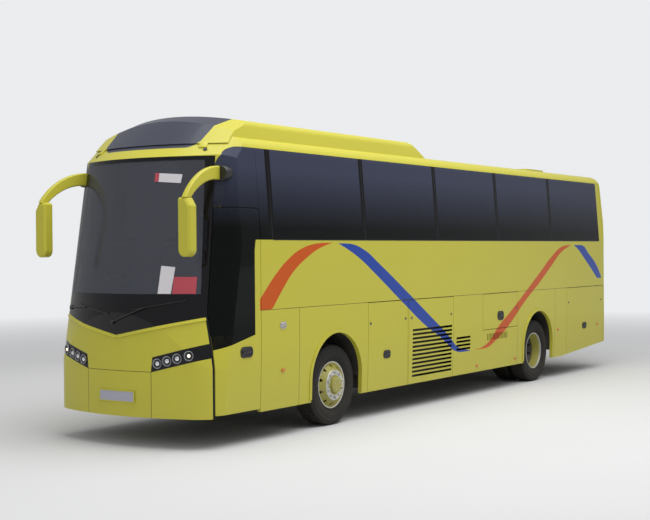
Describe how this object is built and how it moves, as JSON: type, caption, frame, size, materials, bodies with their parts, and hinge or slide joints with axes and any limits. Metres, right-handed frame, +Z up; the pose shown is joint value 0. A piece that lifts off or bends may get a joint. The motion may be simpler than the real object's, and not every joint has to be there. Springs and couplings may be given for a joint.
{
  "type": "coach bus",
  "caption": "High-floor touring coach with a roof pod, large tinted windows, swan-neck mirrors, side lockers, a front entrance door and steered front wheels.",
  "frame": {"origin": "on the ground below the middle of the whole coach, mirrors included", "axes": "+X forward, +Y to the coach's left side, +Z up"},
  "size_m": [11.945, 2.524, 3.845],
  "materials": {
    "body_yellow": "gloss",
    "tyre_rubber": "matt",
    "wheel_paint": "satin",
    "tinted_glass": "tinted",
    "clear_glass": "clear",
    "black_gloss": "gloss",
    "red_lens": "gloss",
    "seat_cloth": "woven",
    "dark_plastic": "matt",
    "floor_grey": "matt",
    "chassis_steel": "matt",
    "engine_iron": "matt",
    "radiator_alloy": "matt",
    "plate_grey": "matt",
    "clear_lens": "clear",
    "rack_grey": "matt"
  },
  "bodies": {
    "coach_body": {"arch_liners": "dark_plastic", "arch_lips": "body_yellow", "bay_plates": "chassis_steel", "chassis_frame": "chassis_steel", "dashboard": "dark_plastic", "driver_seat": "seat_cloth", "engine_block": "engine_iron", "front_axle": "chassis_steel", "front_bumper": "body_yellow", "front_dome": "body_yellow", "headlamp_lenses": "clear_lens", "headlamp_units": "black_gloss", "luggage_racks": "rack_grey", "mirror_arms": "body_yellow", "mirror_heads": "body_yellow", "nose_panel": "body_yellow", "number_plates": "plate_grey", "passenger_seats": "seat_cloth", "radiator_core": "radiator_alloy", "rear_axle": "chassis_steel", "rear_bumper": "body_yellow", "rear_shell": "body_yellow", "rear_window": "tinted_glass", "roof_hatch": "body_yellow", "roof_pod": "body_yellow", "roof_shell": "body_yellow", "saloon_floor": "floor_grey", "screen_frame": "black_gloss", "side_glass": "tinted_glass", "side_wall_left": "body_yellow", "side_wall_right": "body_yellow", "steering_wheel": "dark_plastic", "tail_lamps": "red_lens", "tanks": "chassis_steel", "windscreen": "clear_glass"},
    "boot_lid_leaf": {"boot_lid": "body_yellow"},
    "door_swing_arm": {"door_arm": "chassis_steel"},
    "emergency_door_leaf": {"emergency_door": "body_yellow", "emergency_door_glass": "tinted_glass"},
    "engine_door_right_leaf": {"engine_door_right": "body_yellow"},
    "entrance_door_leaf": {"entrance_door": "body_yellow", "entrance_door_glass": "tinted_glass"},
    "steer_left_hub": {"knuckle_left": "chassis_steel"},
    "steer_right_hub": {"knuckle_right": "chassis_steel"},
    "locker_door_left_front_leaf": {"locker_door_left_front": "body_yellow"},
    "locker_door_left_rear_leaf": {"locker_door_left_rear": "body_yellow"},
    "locker_door_right_front_leaf": {"locker_door_right_front": "body_yellow"},
    "locker_door_right_middle_leaf": {"locker_door_right_middle": "body_yellow"},
    "locker_door_right_rear_leaf": {"locker_door_right_rear": "body_yellow"},
    "radiator_door_left_leaf": {"radiator_door_left": "body_yellow"},
    "wheel_front_left": {"rim_front_left": "wheel_paint", "tyre_front_left": "tyre_rubber"},
    "wheel_front_right": {"rim_front_right": "wheel_paint", "tyre_front_right": "tyre_rubber"},
    "wheels_rear_left": {"rims_rear_left": "wheel_paint", "tyres_rear_left": "tyre_rubber"},
    "wheels_rear_right": {"rims_rear_right": "wheel_paint", "tyres_rear_right": "tyre_rubber"},
    "service_hatch_left_leaf": {"service_hatch_left": "body_yellow"}
  },
  "joints": [
    {"name": "steer_left", "type": "hinge", "parent": "coach_body", "child": "steer_left_hub", "pos_m": [3.1575, 0.93, 0.51], "axis": [0, 0, 1], "range_deg": [-40, 40]},
    {"name": "steer_right", "type": "hinge", "parent": "coach_body", "child": "steer_right_hub", "pos_m": [3.1575, -0.93, 0.51], "axis": [0, 0, 1], "range_deg": [-40, 40]},
    {"name": "wheel_front_left_spin", "type": "hinge", "parent": "steer_left_hub", "child": "wheel_front_left", "pos_m": [3.1575, 1.035, 0.51], "axis": [0, 1, 0], "continuous": true},
    {"name": "wheel_front_right_spin", "type": "hinge", "parent": "steer_right_hub", "child": "wheel_front_right", "pos_m": [3.1575, -1.035, 0.51], "axis": [0, 1, 0], "continuous": true},
    {"name": "wheels_rear_left_spin", "type": "hinge", "parent": "coach_body", "child": "wheels_rear_left", "pos_m": [-2.9425, 0.87, 0.51], "axis": [0, 1, 0], "continuous": true},
    {"name": "wheels_rear_right_spin", "type": "hinge", "parent": "coach_body", "child": "wheels_rear_right", "pos_m": [-2.9425, -0.87, 0.51], "axis": [0, 1, 0], "continuous": true},
    {"name": "entrance_door_swing", "type": "hinge", "parent": "coach_body", "child": "door_swing_arm", "pos_m": [5.2035, 1.025, 0.74], "axis": [0, 0, -1], "range_deg": [0, 95]},
    {"name": "entrance_door_keep_parallel", "type": "hinge", "parent": "door_swing_arm", "child": "entrance_door_leaf", "pos_m": [4.8085, 1.025, 0.74], "axis": [0, 0, -1], "range_deg": [-95, 0]},
    {"name": "emergency_door_hinge", "type": "hinge", "parent": "coach_body", "child": "emergency_door_leaf", "pos_m": [-1.5465, -1.253, 2], "axis": [0, 0, 1], "range_deg": [0, 90]},
    {"name": "boot_lid_hinge", "type": "hinge", "parent": "coach_body", "child": "boot_lid_leaf", "pos_m": [-5.9486, 0, 2.136], "axis": [0, 1, 0], "range_deg": [0, 90]},
    {"name": "locker_door_left_front_hinge", "type": "hinge", "parent": "coach_body", "child": "locker_door_left_front_leaf", "pos_m": [1.9095, 1.253, 1.526], "axis": [1, 0, 0], "range_deg": [0, 80]},
    {"name": "radiator_door_left_hinge", "type": "hinge", "parent": "coach_body", "child": "radiator_door_left_leaf", "pos_m": [0.7145, 1.253, 1.526], "axis": [1, 0, 0], "range_deg": [0, 80]},
    {"name": "service_hatch_left_hinge", "type": "hinge", "parent": "coach_body", "child": "service_hatch_left_leaf", "pos_m": [-1.511, 1.253, 1.526], "axis": [1, 0, 0], "range_deg": [0, 80]},
    {"name": "locker_door_left_rear_hinge", "type": "hinge", "parent": "coach_body", "child": "locker_door_left_rear_leaf", "pos_m": [-4.973, 1.253, 1.526], "axis": [1, 0, 0], "range_deg": [0, 80]},
    {"name": "locker_door_right_front_hinge", "type": "hinge", "parent": "coach_body", "child": "locker_door_right_front_leaf", "pos_m": [1.9095, -1.253, 1.526], "axis": [-1, 0, 0], "range_deg": [0, 80]},
    {"name": "engine_door_right_hinge", "type": "hinge", "parent": "coach_body", "child": "engine_door_right_leaf", "pos_m": [0.7145, -1.253, 1.526], "axis": [-1, 0, 0], "range_deg": [0, 80]},
    {"name": "locker_door_right_middle_hinge", "type": "hinge", "parent": "coach_body", "child": "locker_door_right_middle_leaf", "pos_m": [-1.0485, -1.253, 1.526], "axis": [-1, 0, 0], "range_deg": [0, 80]},
    {"name": "locker_door_right_rear_hinge", "type": "hinge", "parent": "coach_body", "child": "locker_door_right_rear_leaf", "pos_m": [-4.973, -1.253, 1.526], "axis": [-1, 0, 0], "range_deg": [0, 80]}
  ],
  "couplings": [
    {"joint": "steer_right", "follows": "steer_left", "ratio": 1},
    {"joint": "entrance_door_keep_parallel", "follows": "entrance_door_swing", "ratio": -1}
  ]
}
